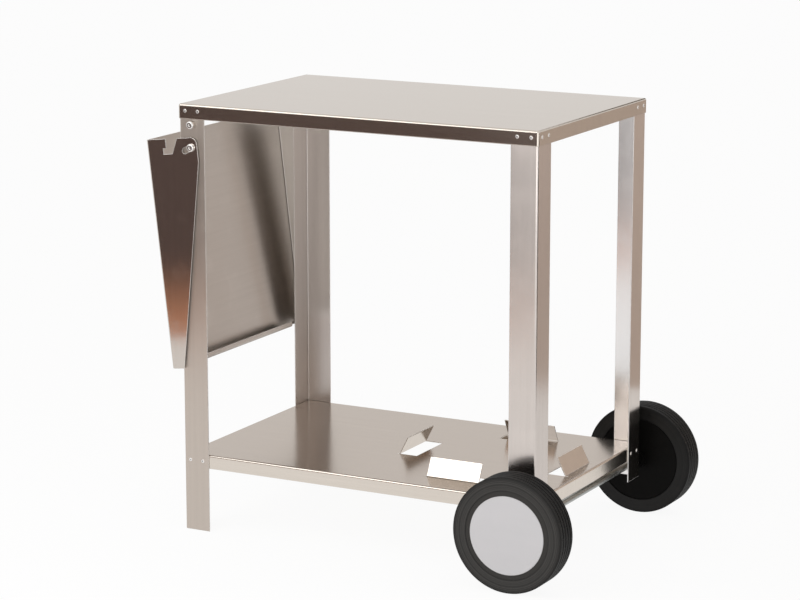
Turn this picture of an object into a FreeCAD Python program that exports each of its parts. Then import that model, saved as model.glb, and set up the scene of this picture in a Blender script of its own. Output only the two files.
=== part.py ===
import FreeCAD, Part
import math
import os
import Sketcher
from FreeCAD import Placement, Rotation, Vector

# Driving dimensions, in millimetres and degrees
dimensions = {
    "top_length": 695,
    "top_width": 448,
    "top_height": 770,
    "top_flange": 26.3,
    "sheet": 1.5,
    "bend_radius": 3.5,
    "edge_round": 1.2,
    "return_reach": 12,
    "return_gap": 3,
    "leg_width": 50,
    "leg_top_gap": 2.5,
    "leg_below_axle": 22,
    "axle_shelf_gap": 10,
    "shelf_flange": 25,
    "bottle_edge_gap": 20.5,
    "bottle_square": 326,
    "tab_width": 100,
    "tab_length": 35,
    "tab_angle": 63,
    "tab_relief": 1.5,
    "tab_root": 4,
    "rivet_pitch": 25.5,
    "rivet_drop": 12,
    "rivet_radius": 1.6,
    "rivet_head_radius": 3.2,
    "rivet_head_height": 1,
    "rivet_head_round": 0.8,
    "rivet_tail_radius": 2.4,
    "fastener_clearance": 0.05,
    "pivot_drop": 76,
    "hook_rise": 40,
    "bolt_thread_radius": 3,
    "bolt_shoulder_radius": 4,
    "bolt_head_rim": 3,
    "bolt_head_height": 4,
    "bolt_head_round": 2.4,
    "bolt_head_gap": 0.4,
    "bolt_tail": 2,
    "socket_width": 5,
    "socket_depth": 2.2,
    "nut_width": 10,
    "nut_height": 5,
    "gusset_clearance": 0.5,
    "foot_standoff": 20.03,
    "top_edge": 18,
    "panel_drop": 393,
    "toe_width": 25,
    "heel_reach": 12.6,
    "heel_round": 12,
    "taper_start": 26,
    "hook_mouth_gap": 6.8,
    "notch_slope": 25,
    "notch_clearance": 0.4,
    "lip_reach": 20,
    "lip_side_gap": 7.5,
    "lip_end_gap": 1.1,
    "lip_return": 10,
    "seat_gap": 0.2,
    "drop_height": 13.1,
    "drop_inset": 4.6,
    "bush_wall": 1,
    "bush_flange_rim": 3,
    "bush_face_gap": 0.1,
    "running_clearance": 0.05,
    "slot_clearance": 0.1,
    "wheel_radius": 100,
    "wheel_width": 48,
    "wheel_gap": 30,
    "tyre_shoulder": 2.5,
    "tread_grooves": 4,
    "groove_pitch": 9,
    "groove_width": 2.4,
    "groove_depth": 2,
    "rim_radius": 76,
    "rim_wall": 8,
    "rim_inset": 0.6,
    "web_thickness": 6,
    "web_ring_width": 1.6,
    "web_ring_depth": 1.5,
    "boss_wall": 9,
    "boss_proud": 8,
    "boss_reach": 30,
    "cap_thickness": 3,
    "cap_crown": 0.6,
    "cap_clearance": 0.1,
    "axle_radius": 6,
    "axle_inset": 15,
    "axle_tail": 3,
    "spacer_wall": 3,
    "washer_rim": 5,
    "washer_thickness": 1.5,
    "retainer_rim": 4,
    "retainer_thickness": 2.5,
    "hub_side_play": 0.2,
}

# Places that several pieces share, as expressions of the driving dimensions
leg_x = "(dims.top_length / 2 - dims.sheet)"
leg_y = "(dims.top_width / 2 - dims.sheet)"
leg_top = "(dims.top_height - dims.sheet - dims.leg_top_gap)"
right_leg_foot = "(dims.wheel_radius - dims.leg_below_axle)"
flange_middle_x = f"({leg_x} - dims.leg_width / 2)"
flange_middle_y = f"({leg_y} - dims.leg_width / 2)"
shelf_height = "(dims.wheel_radius + dims.axle_radius + dims.axle_shelf_gap + dims.shelf_flange)"
bottle_center = f"({leg_x} - dims.sheet - dims.bottle_edge_gap - dims.bottle_square / 2)"
rivet_hole_radius = "(dims.rivet_radius + dims.fastener_clearance)"
top_rivet_height = "(dims.top_height - dims.rivet_drop)"
shelf_rivet_height = f"({shelf_height} - dims.rivet_drop)"

# The side shelf turns on the pivot bolts, and its hooks catch the bolts above them
pivot_height = "(dims.top_height - dims.pivot_drop)"
hook_height = f"({pivot_height} + dims.hook_rise)"
gusset_gap = "(dims.sheet + dims.rivet_head_height + dims.gusset_clearance)"
gusset_inside = f"({leg_y} + {gusset_gap})"
gusset_outside = f"({gusset_inside} + dims.sheet)"
bush_bore = "(dims.bolt_shoulder_radius + dims.running_clearance)"
bush_radius = f"({bush_bore} + dims.bush_wall)"

# Raised and dropped, the panel lies on the table top; hanging, its foot stands off the left legs
panel_offset = "(dims.pivot_drop + dims.drop_height + dims.seat_gap + dims.sheet)"
hang_tilt = (
    f"(acos((dims.leg_width / 2 + dims.foot_standoff) / hypot({panel_offset}; dims.panel_drop))"
    f" - atan(dims.panel_drop / {panel_offset}))"
)

axle_x = f"({leg_x} - dims.axle_inset)"
axle_bore = "(dims.axle_radius + dims.running_clearance)"
boss_radius = "(dims.axle_radius + dims.boss_wall)"
wheel_inside = f"({leg_y} + dims.wheel_gap)"
boss_inside = f"({wheel_inside} - dims.boss_proud)"
boss_outside = f"({wheel_inside} + dims.boss_reach)"
rim_inside = "(dims.rim_radius - dims.rim_wall)"
inner_washer = f"({boss_inside} - dims.hub_side_play - dims.washer_thickness)"
outer_washer = f"({boss_outside} + dims.hub_side_play)"
retainer = f"({outer_washer} + dims.washer_thickness)"
axle_end = f"({retainer} + dims.retainer_thickness + dims.axle_tail)"

# The origin is below the middle of the box around the wheels and the hanging shelf
middle_x = (
    "(dims.leg_width / 2 - dims.axle_inset + dims.wheel_radius"
    f" - {panel_offset} * cos({hang_tilt}) - dims.top_edge * sin({hang_tilt})) / 2"
)

facing_front = Rotation(Vector(1, 0, 0), 90)
facing_back = Rotation(Vector(1, 0, 0), -90)
facing_left = Rotation(Vector(0, 1, 0), -90)
facing_right = Rotation(Vector(0, 1, 0), 90)

doc = FreeCAD.newDocument("plancha_cart")
dims = doc.addObject("Spreadsheet::Sheet", "dims")
for row, (alias, size) in enumerate(dimensions.items(), start=1):
    dims.set(f"A{row}", alias)
    dims.set(f"B{row}", str(size))
    dims.setAlias(f"B{row}", alias)
probe = doc.addObject("App::FeaturePython", "probe")
probe.addProperty("App::PropertyFloat", "number")
doc.recompute()
nodes = []
tolerance = 0.001


def number(expression):
    probe.setExpression("number", expression)
    probe.recompute()
    return probe.number


def place(item, x="0", y="0", z="0"):
    item.setExpression(".Placement.Base.x", f"{x} - {middle_x}")
    item.setExpression(".Placement.Base.y", y)
    item.setExpression(".Placement.Base.z", z)


def new_body(label, is_node=True):
    body = doc.addObject("PartDesign::Body", label)
    body.Label = label
    if is_node:
        nodes.append(body)
    return body


def new_sketch(body, name, plane):
    sketch = body.newObject("Sketcher::SketchObject", name)
    support = next(item for item in body.Origin.OriginFeatures if item.Role == plane)
    sketch.AttachmentSupport = [(support, "")]
    sketch.MapMode = "FlatFace"
    return sketch


def bind_constraint(sketch, constraint, expression):
    index = sketch.addConstraint(constraint)
    sketch.setExpression(f"Constraints[{index}]", expression)


def fix_point(sketch, geometry, end, x, y):
    vertical_axis = -2
    horizontal_axis = -1
    sides = (("DistanceX", x, vertical_axis), ("DistanceY", y, horizontal_axis))
    for kind, expression, axis in sides:
        if expression == "0":
            sketch.addConstraint(Sketcher.Constraint("PointOnObject", geometry, end, axis))
        else:
            constraint = Sketcher.Constraint(kind, geometry, end, number(expression))
            bind_constraint(sketch, constraint, expression)


def draw_polygon(sketch, points):
    corners = [Vector(number(x), number(y), 0) for x, y in points]
    first = sketch.GeometryCount
    count = len(corners)
    for index, corner in enumerate(corners):
        sketch.addGeometry(Part.LineSegment(corner, corners[(index + 1) % count]), False)
    for index in range(count):
        following = first + (index + 1) % count
        sketch.addConstraint(Sketcher.Constraint("Coincident", first + index, 2, following, 1))
    for index, (x, y) in enumerate(points):
        fix_point(sketch, first + index, 1, x, y)


def draw_rectangle(sketch, left, low, right, high):
    draw_polygon(sketch, [(left, low), (right, low), (right, high), (left, high)])


def draw_circle(sketch, x, y, radius):
    center = Vector(number(x), number(y), 0)
    geometry = sketch.addGeometry(Part.Circle(center, Vector(0, 0, 1), number(radius)), False)
    fix_point(sketch, geometry, 3, x, y)
    bind_constraint(sketch, Sketcher.Constraint("Radius", geometry, number(radius)), radius)


def draw_slot(sketch, end_x, end_y, radius):
    """A round-ended slot from the sketch's origin to the given point."""
    start = Vector(0, 0, 0)
    end = Vector(number(end_x), number(end_y), 0)
    size = number(radius)
    turn = math.atan2(end.y, end.x)
    quarter = math.pi / 2
    up = Vector(0, 0, 1)
    side = Vector(math.sin(turn), -math.cos(turn), 0) * size
    start_arc = sketch.addGeometry(
        Part.ArcOfCircle(Part.Circle(start, up, size), turn + quarter, turn + 3 * quarter), False)
    end_arc = sketch.addGeometry(
        Part.ArcOfCircle(Part.Circle(end, up, size), turn - quarter, turn + quarter), False)
    out = sketch.addGeometry(Part.LineSegment(start + side, end + side), False)
    back = sketch.addGeometry(Part.LineSegment(end - side, start - side), False)
    for first, second in ((start_arc, out), (out, end_arc), (end_arc, back), (back, start_arc)):
        sketch.addConstraint(Sketcher.Constraint("Tangent", first, 2, second, 1))
    sketch.addConstraint(Sketcher.Constraint("Coincident", start_arc, 3, -1, 1))
    sketch.addConstraint(Sketcher.Constraint("Equal", start_arc, end_arc))
    bind_constraint(sketch, Sketcher.Constraint("Radius", start_arc, size), radius)
    fix_point(sketch, end_arc, 3, end_x, end_y)


def draw_hexagon(sketch, across):
    steps = [(0.5, -1), (0.5, 1), (-0.5, 1), (-0.5, -1)]
    flats = [(f"{x} * {across} / sqrt(3)", f"{y} * {across} / 2") for x, y in steps]
    right = (f"{across} / sqrt(3)", "0")
    left = (f"-{across} / sqrt(3)", "0")
    draw_polygon(sketch, [flats[0], right, flats[1], flats[2], left, flats[3]])


def add_pad(body, sketch, length, side="One side"):
    pad = body.newObject("PartDesign::Pad", "Pad")
    pad.Profile = sketch
    pad.SideType = side
    pad.setExpression("Length", length)
    doc.recompute()
    return pad


def add_pocket(body, sketch, length=None, side="One side", flip=False):
    """Cuts to the given depth, or right through, and makes sure that something was cut."""
    before = body.Shape.Volume
    pocket = body.newObject("PartDesign::Pocket", "Pocket")
    pocket.Profile = sketch
    pocket.SideType = side
    pocket.Reversed = flip
    if length:
        pocket.setExpression("Length", length)
    else:
        pocket.Type = "ThroughAll"
    doc.recompute()
    if body.Shape.Volume >= before:
        raise RuntimeError(f"{sketch.Name} cut nothing from {body.Label}")
    return pocket


def add_revolution(body, sketch, kind="Revolution"):
    turned = body.newObject(f"PartDesign::{kind}", kind)
    turned.Profile = sketch
    turned.ReferenceAxis = (sketch, ["V_Axis"])
    turned.Angle = 360
    doc.recompute()
    return turned


def add_fillet(body, radius, chosen):
    base = body.Tip
    names = []
    for index, edge in enumerate(base.Shape.Edges, start=1):
        if chosen(edge.BoundBox):
            names.append(f"Edge{index}")
    if not names:
        raise RuntimeError(f"no edge of {body.Label} to round")
    fillet = body.newObject("PartDesign::Fillet", "Fillet")
    fillet.Base = (base, names)
    fillet.setExpression("Radius", radius)
    doc.recompute()
    return fillet


def near(value, target):
    return abs(value - target) < tolerance


def is_upright(box):
    return near(box.XLength, 0) and near(box.YLength, 0)


def is_upright_at(box, corner):
    return is_upright(box) and near(box.XMin, corner.x) and near(box.YMin, corner.y)


def is_level(box, height):
    return near(box.ZMin, height) and near(box.ZMax, height)


def turned_body(label, points, is_node=True, plane="XY_Plane"):
    body = new_body(label, is_node)
    profile = new_sketch(body, f"{label}_profile", plane)
    draw_polygon(profile, points)
    add_revolution(body, profile)
    return body


def make_copies(label, master, spots):
    """One node of separate solids, each a copy of the master."""
    copies = []
    for index, (x, y, z, facing) in enumerate(spots):
        copy = doc.addObject("App::Link", f"{label}_{index}")
        copy.LinkedObject = master
        copy.Placement = Placement(Vector(), facing)
        place(copy, x, y, z)
        copies.append(copy)
    group = doc.addObject("Part::Compound", label)
    group.Label = label
    group.Links = copies
    nodes.append(group)
    return group


def pair_spots(x, depth, height):
    """The same spot on the front and on the back of the cart."""
    return [(x, f"-{depth}", height, facing_front), (x, depth, height, facing_back)]


def rivet_steps():
    return ("- dims.rivet_pitch / 2", "+ dims.rivet_pitch / 2")


def draw_rivet_row(sketch, middle, height, signs=(-1, 1)):
    for sign in signs:
        for step in rivet_steps():
            draw_circle(sketch, f"{sign} * ({middle} {step})", height, rivet_hole_radius)


def make_tray(label, size, corner_gap, rivet_height):
    """A folded sheet: a flat top, a flange on each side and a return along its foot."""
    length, width, flange = size
    body = new_body(label)
    outline = new_sketch(body, f"{label}_outline", "XY_Plane")
    draw_rectangle(outline, f"-{length} / 2", f"-{width} / 2", f"{length} / 2", f"{width} / 2")
    add_pad(body, outline, flange)
    top = number(flange)
    add_fillet(body, "dims.bend_radius", lambda box: is_upright(box) or is_level(box, top))

    hollow = new_sketch(body, f"{label}_hollow", "XY_Plane")
    inner_x = f"({length} / 2 - dims.sheet)"
    inner_y = f"({width} / 2 - dims.sheet)"
    draw_rectangle(hollow, f"-{inner_x}", f"-{inner_y}", inner_x, inner_y)
    add_pocket(body, hollow, f"{flange} - dims.sheet", flip=True)
    under = number(f"{flange} - dims.sheet")
    limit_x = number(inner_x) + tolerance
    limit_y = number(inner_y) + tolerance

    def is_inside(box):
        return max(-box.XMin, box.XMax) < limit_x and max(-box.YMin, box.YMax) < limit_y

    def is_inner_bend(box):
        return is_inside(box) and (is_upright(box) or is_level(box, under))

    add_fillet(body, "dims.bend_radius - dims.sheet", is_inner_bend)
    add_fillet(body, "dims.edge_round", lambda box: is_level(box, 0) and not is_inside(box))

    returns = new_sketch(body, f"{label}_returns", "XY_Plane")
    end_x = f"({length} / 2 - {corner_gap})"
    end_y = f"({width} / 2 - {corner_gap})"
    for sign in (-1, 1):
        outer = f"{sign} * ({width} / 2 - dims.edge_round)"
        inner = f"{sign} * ({width} / 2 - dims.return_reach)"
        draw_rectangle(returns, f"-{end_x}", inner, end_x, outer)
        outer = f"{sign} * ({length} / 2 - dims.edge_round)"
        inner = f"{sign} * ({length} / 2 - dims.return_reach)"
        draw_rectangle(returns, inner, f"-{end_y}", outer, end_y)
    add_pad(body, returns, "dims.sheet")

    for plane, middle in (("XZ_Plane", flange_middle_x), ("YZ_Plane", flange_middle_y)):
        rivets = new_sketch(body, f"{label}_rivets_{plane}", plane)
        draw_rivet_row(rivets, middle, rivet_height)
        add_pocket(body, rivets, side="Symmetric")
    return body


def make_table_top():
    gap = "(dims.sheet + dims.leg_width + dims.return_gap)"
    rivet_height = "(dims.top_flange - dims.rivet_drop)"
    size = ("dims.top_length", "dims.top_width", "dims.top_flange")
    body = make_tray("table_top", size, gap, rivet_height)
    place(body, z="dims.top_height - dims.top_flange")


def make_lower_shelf():
    length = f"(2 * ({leg_x} - dims.sheet))"
    width = f"(2 * ({leg_y} - dims.sheet))"
    gap = "(dims.return_reach + dims.return_gap)"
    rivet_height = "(dims.shelf_flange - dims.rivet_drop)"
    body = make_tray("lower_shelf", (length, width, "dims.shelf_flange"), gap, rivet_height)
    add_bottle_tabs(body)
    place(body, z=f"{shelf_height} - dims.shelf_flange")


def add_bottle_tabs(body):
    """Four tabs, each cut on three sides and bent up along its outer edge."""
    half_square = "dims.bottle_square / 2"
    half_opening = "(dims.tab_width / 2 + dims.tab_relief)"
    opening = new_sketch(body, "tab_opening", "XY_Plane")
    opening.setExpression(".AttachmentOffset.Base.x", bottle_center)
    fold = f"-{half_square}"
    root = f"(-{half_square} - dims.tab_root)"
    end = f"(-{half_square} + dims.tab_length)"
    half_tab = "dims.tab_width / 2"
    draw_polygon(opening, [
        (root, f"-{half_opening}"),
        (end, f"-{half_opening}"),
        (end, half_opening),
        (root, half_opening),
        (root, half_tab),
        (fold, half_tab),
        (fold, f"-{half_tab}"),
        (root, f"-{half_tab}"),
    ])
    cut = add_pocket(body, opening, flip=True)

    profile = new_sketch(body, "tab_profile", "XZ_Plane")
    profile.setExpression(".AttachmentOffset.Base.x", bottle_center)
    upper = "dims.shelf_flange"
    lower = f"({upper} - dims.sheet)"
    fold_shift = "dims.sheet * tan(dims.tab_angle / 2)"
    tip_x = f"(-{half_square} + dims.tab_length * cos(dims.tab_angle))"
    tip_z = f"({upper} + dims.tab_length * sin(dims.tab_angle))"
    draw_polygon(profile, [
        (root, upper),
        (fold, upper),
        (tip_x, tip_z),
        (f"{tip_x} + dims.sheet * sin(dims.tab_angle)", f"{tip_z} - dims.sheet * cos(dims.tab_angle)"),
        (f"{fold} + {fold_shift}", lower),
        (root, lower),
    ])
    tab = add_pad(body, profile, "dims.tab_width", side="Symmetric")

    pattern = body.newObject("PartDesign::PolarPattern", "tab_pattern")
    pattern.Originals = [cut, tab]
    pattern.Axis = (opening, ["N_Axis"])
    pattern.Angle = 360
    pattern.Occurrences = 4
    body.Tip = pattern
    doc.recompute()

    center = number(bottle_center)
    tab_width = number("dims.tab_width")

    def is_fold(box, height, reach):
        across = near(box.YLength, tab_width) and near(abs(box.XMin - center), reach)
        along = near(box.XLength, tab_width) and near(abs(box.YMin), reach)
        return is_level(box, height) and (across or along)

    for height, reach, radius in (
        (upper, half_square, "dims.bend_radius - dims.sheet"),
        (lower, f"{half_square} - {fold_shift}", "dims.bend_radius"),
    ):
        level = number(height)
        distance = number(reach)
        add_fillet(body, radius, lambda box: is_fold(box, level, distance))


def make_leg(label, side_x, side_y, foot, holes):
    """An angle in a corner of the table; the holes go through its front or back flange."""
    body = new_body(label)
    section = new_sketch(body, f"{label}_section", "XY_Plane")
    outer_x = f"{side_x} * {leg_x}"
    outer_y = f"{side_y} * {leg_y}"
    inner_x = f"{side_x} * ({leg_x} - dims.sheet)"
    inner_y = f"{side_y} * ({leg_y} - dims.sheet)"
    end_x = f"{side_x} * ({leg_x} - dims.leg_width)"
    end_y = f"{side_y} * ({leg_y} - dims.leg_width)"
    draw_polygon(section, [
        (outer_x, outer_y), (end_x, outer_y), (end_x, inner_y),
        (inner_x, inner_y), (inner_x, end_y), (outer_x, end_y),
    ])
    add_pad(body, section, f"{leg_top} - {foot}")
    for x, y, radius in (
        (outer_x, outer_y, "dims.bend_radius"),
        (inner_x, inner_y, "dims.bend_radius - dims.sheet"),
    ):
        corner = Vector(number(x), number(y), 0)
        add_fillet(body, radius, lambda box: is_upright_at(box, corner))

    flanges = (("XZ_Plane", side_x, flange_middle_x), ("YZ_Plane", side_y, flange_middle_y))
    for plane, sign, middle in flanges:
        cuts = new_sketch(body, f"{label}_holes_{plane}", plane)
        for height in (top_rivet_height, shelf_rivet_height):
            draw_rivet_row(cuts, middle, f"({height} - {foot})", signs=(sign,))
        if plane == "XZ_Plane":
            for x, height, radius in holes:
                draw_circle(cuts, f"{side_x} * {x}", f"({height} - {foot})", radius)
        add_pocket(body, cuts, side="Symmetric")
    place(body, z=foot)


def make_legs():
    bolt_hole = "(dims.bolt_thread_radius + dims.fastener_clearance)"
    bolt_holes = [
        (flange_middle_x, pivot_height, bolt_hole),
        (flange_middle_x, hook_height, bolt_hole),
    ]
    axle_hole = [(axle_x, "dims.wheel_radius", axle_bore)]
    for depth, side_y in (("front", -1), ("back", 1)):
        make_leg(f"leg_{depth}_left", -1, side_y, "0", bolt_holes)
        make_leg(f"leg_{depth}_right", 1, side_y, right_leg_foot, axle_hole)


def make_rivets():
    grip = "(2 * dims.sheet)"
    tail = f"(-{grip} - dims.rivet_head_height)"
    master = turned_body("rivet", [
        ("0", tail), ("dims.rivet_tail_radius", tail), ("dims.rivet_tail_radius", f"-{grip}"),
        ("dims.rivet_radius", f"-{grip}"), ("dims.rivet_radius", "0"), ("dims.rivet_head_radius", "0"),
        ("dims.rivet_head_radius", "dims.rivet_head_height"), ("0", "dims.rivet_head_height"),
    ], is_node=False, plane="XZ_Plane")
    head = number("dims.rivet_head_height")
    add_fillet(master, "dims.rivet_head_round", lambda box: is_level(box, head))
    faces = (
        ("top_rivets", "dims.top_length / 2", "dims.top_width / 2", top_rivet_height),
        ("shelf_rivets", leg_x, leg_y, shelf_rivet_height),
    )
    for label, face_x, face_y, height in faces:
        spots = []
        for sign in (-1, 1):
            for step in rivet_steps():
                spots += pair_spots(f"{sign} * ({flange_middle_x} {step})", face_y, height)
                y = f"{sign} * ({flange_middle_y} {step})"
                spots.append((f"-{face_x}", y, height, facing_left))
                spots.append((face_x, y, height, facing_right))
        make_copies(label, master, spots)


def make_bolts():
    """Shoulder bolts in the left legs: the side shelf turns on one pair and hooks over the other."""
    thread_end = "(-dims.sheet - dims.nut_height - dims.bolt_tail)"
    shoulder = f"({gusset_gap} + dims.sheet + dims.bolt_head_gap)"
    head = f"({shoulder} + dims.bolt_head_height)"
    head_radius = "(dims.bolt_shoulder_radius + dims.bolt_head_rim)"
    bolt = turned_body("bolt", [
        ("0", thread_end), ("dims.bolt_thread_radius", thread_end), ("dims.bolt_thread_radius", "0"),
        ("dims.bolt_shoulder_radius", "0"), ("dims.bolt_shoulder_radius", shoulder),
        (head_radius, shoulder), (head_radius, head), ("0", head),
    ], is_node=False, plane="XZ_Plane")
    top = number(head)
    add_fillet(bolt, "dims.bolt_head_round", lambda box: is_level(box, top))
    socket = new_sketch(bolt, "bolt_socket", "XY_Plane")
    socket.setExpression(".AttachmentOffset.Base.z", head)
    draw_hexagon(socket, "dims.socket_width")
    add_pocket(bolt, socket, "dims.socket_depth")

    nut = new_body("nut", is_node=False)
    outline = new_sketch(nut, "nut_outline", "XY_Plane")
    outline.setExpression(".AttachmentOffset.Base.z", "-dims.sheet - dims.nut_height")
    draw_hexagon(outline, "dims.nut_width")
    draw_circle(outline, "0", "0", "dims.bolt_thread_radius + dims.fastener_clearance")
    add_pad(nut, outline, "dims.nut_height")

    for name, height in (("pivot", pivot_height), ("hook", hook_height)):
        spots = pair_spots(f"-{flange_middle_x}", leg_y, height)
        make_copies(f"{name}_bolts", bolt, spots)
        make_copies(f"{name}_nuts", nut, spots)


def make_pivot_bushes():
    """Bushes on the pivot bolts: the flange holds the gusset off the leg, the sleeve is in its slot."""
    flange = f"({bush_radius} + dims.bush_flange_rim)"
    face = f"({gusset_gap} - dims.bush_face_gap)"
    end = f"({gusset_gap} + dims.sheet)"
    bush = turned_body("bush", [
        (bush_bore, "dims.bush_face_gap"), (flange, "dims.bush_face_gap"), (flange, face),
        (bush_radius, face), (bush_radius, end), (bush_bore, end),
    ], is_node=False, plane="XZ_Plane")
    make_copies("pivot_bushes", bush, pair_spots(f"-{flange_middle_x}", leg_y, pivot_height))


def make_side_shelf():
    """Folded from one sheet, drawn upright about its pivot: panel at the left, gussets front and back."""
    body = new_body("side_shelf")
    panel = f"(-{panel_offset})"
    bolt_room = "(dims.bolt_shoulder_radius + dims.notch_clearance)"
    hook_reach = "(dims.bolt_shoulder_radius + dims.hook_mouth_gap)"
    hook_wall = f"(-dims.hook_rise - {hook_reach})"
    recess_wall = f"(-dims.hook_rise - dims.drop_height - {bolt_room})"
    notch_floor = f"(-dims.drop_inset - {bolt_room})"
    drop_slope = "(dims.drop_inset / dims.drop_height)"
    hook_tip = f"({bolt_room} * sqrt(1 + {drop_slope}^2) - {hook_reach} * {drop_slope})"
    notch_side = f"(-dims.hook_rise + {bolt_room} / cos(dims.notch_slope))"
    outline = new_sketch(body, "gusset_outline", "XZ_Plane")
    draw_polygon(outline, [
        (panel, "dims.top_edge"),
        (hook_wall, "dims.top_edge"),
        (hook_wall, hook_tip),
        (recess_wall, hook_tip),
        (recess_wall, notch_floor),
        (f"{notch_side} + {notch_floor} * tan(dims.notch_slope)", notch_floor),
        (f"{notch_side} + dims.top_edge * tan(dims.notch_slope)", "dims.top_edge"),
        ("dims.heel_reach", "dims.top_edge"),
        ("dims.heel_reach", "-dims.taper_start"),
        (f"{panel} + dims.toe_width", "-dims.panel_drop"),
        (panel, "-dims.panel_drop"),
    ])
    add_pad(body, outline, f"2 * {gusset_outside}", side="Symmetric")

    inside = new_sketch(body, "shelf_inside", "XZ_Plane")
    inner_panel = f"({panel} + dims.sheet)"
    inner_foot = "(-dims.panel_drop + dims.sheet)"
    draw_rectangle(
        inside, inner_panel, inner_foot,
        "dims.heel_reach + dims.sheet", "dims.top_edge + dims.sheet")
    add_pocket(body, inside, f"2 * {gusset_inside}", side="Symmetric")

    lip = new_sketch(body, "lip_trim", "XY_Plane")
    lip_side = f"({leg_y} - dims.leg_width - dims.lip_side_gap)"
    lip_x = f"({panel} + dims.lip_reach)"
    lip_end_x = (
        f"({panel} + dims.foot_standoff / cos({hang_tilt}) - dims.drop_height"
        f" + dims.drop_inset * tan({hang_tilt}) - dims.lip_end_gap)"
    )
    draw_polygon(lip, [
        (lip_end_x, f"-{gusset_inside}"),
        ("dims.heel_reach", f"-{gusset_inside}"),
        ("dims.heel_reach", gusset_inside),
        (lip_end_x, gusset_inside),
        (lip_end_x, lip_side),
        (lip_x, lip_side),
        (lip_x, f"-{lip_side}"),
        (lip_end_x, f"-{lip_side}"),
    ])
    add_pocket(body, lip)

    turned_up = new_sketch(body, "lip_return", "XZ_Plane")
    return_x = f"({lip_x} - dims.sheet)"
    draw_rectangle(turned_up, return_x, "-dims.panel_drop", lip_x, "-dims.panel_drop + dims.lip_return")
    add_pad(body, turned_up, f"2 * {lip_side}", side="Symmetric")

    slot = new_sketch(body, "pivot_slot", "XZ_Plane")
    draw_slot(slot, "-dims.drop_height", "-dims.drop_inset", f"{bush_radius} + dims.slot_clearance")
    add_pocket(body, slot, side="Symmetric")

    def round_bends(radius, x, y, z):
        corner_x = number(x)
        corner_y = number(y)
        corner_z = number(z)

        def is_bend(box):
            along_side = is_upright(box) and near(box.XMin, corner_x) and near(abs(box.YMin), corner_y)
            along_foot = is_level(box, corner_z) and near(box.XMin, corner_x) and near(box.XMax, corner_x)
            return along_side or along_foot

        add_fillet(body, radius, is_bend)

    round_bends("dims.bend_radius", panel, gusset_outside, "-dims.panel_drop")
    round_bends("dims.bend_radius - dims.sheet", inner_panel, gusset_inside, inner_foot)
    round_bends("dims.bend_radius", lip_x, gusset_outside, "-dims.panel_drop")
    round_bends("dims.bend_radius - dims.sheet", return_x, gusset_inside, inner_foot)
    heel_x = number("dims.heel_reach")
    heel_z = number("dims.top_edge")
    add_fillet(body, "dims.heel_round", lambda box: is_level(box, heel_z) and near(box.XMin, heel_x))
    body.Placement.Rotation = Rotation(Vector(0, -1, 0), number(hang_tilt))
    body.setExpression(".Placement.Rotation.Angle", hang_tilt)
    place(body, x=f"-{flange_middle_x}", z=pivot_height)


def make_wheel(name, side):
    """A grooved tyre on a plastic hub with a plain cap; depths run outward from the tyre's inner face."""
    def depth(expression):
        return f"{side} * ({expression})"

    tyre = turned_body(f"tyre_{name}", [
        ("dims.rim_radius", "0"), ("dims.wheel_radius", "0"),
        ("dims.wheel_radius", depth("dims.wheel_width")), ("dims.rim_radius", depth("dims.wheel_width")),
    ])
    rim = number("dims.rim_radius")
    add_fillet(tyre, "dims.tyre_shoulder", lambda box: near(box.YLength, 0) and box.XMax > rim + tolerance)
    tread = new_sketch(tyre, f"tread_{name}", "XY_Plane")
    for index in range(dimensions["tread_grooves"]):
        step = f"({index} - (dims.tread_grooves - 1) / 2)"
        middle = f"dims.wheel_width / 2 + {step} * dims.groove_pitch"
        draw_rectangle(
            tread, "dims.wheel_radius - dims.groove_depth", depth(f"{middle} - dims.groove_width / 2"),
            "dims.wheel_radius + dims.groove_depth", depth(f"{middle} + dims.groove_width / 2"))
    add_revolution(tyre, tread, kind="Groove")

    fit = "(dims.rim_radius - dims.fastener_clearance)"
    web_in = depth("dims.rim_inset")
    web_out = depth("dims.rim_inset + dims.web_thickness")
    face = depth("dims.wheel_width - dims.rim_inset")
    boss_in = depth("-dims.boss_proud")
    boss_out = depth("dims.boss_reach")
    hub = turned_body(f"hub_{name}", [
        (axle_bore, boss_in), (boss_radius, boss_in), (boss_radius, web_in), (fit, web_in),
        (fit, face), (rim_inside, face), (rim_inside, web_out), (boss_radius, web_out),
        (boss_radius, boss_out), (axle_bore, boss_out),
    ])
    ring = new_sketch(hub, f"ring_{name}", "XY_Plane")
    draw_rectangle(
        ring, "dims.rim_radius - dims.web_ring_width", "0",
        "dims.rim_radius", depth("dims.rim_inset + dims.web_ring_depth"))
    add_revolution(hub, ring, kind="Groove")

    edge = f"({rim_inside} - dims.cap_clearance)"
    cap_back = depth("dims.wheel_width - dims.rim_inset - dims.cap_thickness")
    crown = depth("dims.wheel_width - dims.rim_inset + dims.cap_crown")
    cap = turned_body(f"cap_{name}", [("0", cap_back), (edge, cap_back), (edge, crown), ("0", crown)])
    front = number(crown)
    add_fillet(cap, "dims.cap_crown", lambda box: near(box.YMin, front) and near(box.YMax, front))
    for body in (tyre, hub, cap):
        place(body, x=axle_x, y=f"{side} * {wheel_inside}", z="dims.wheel_radius")


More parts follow.
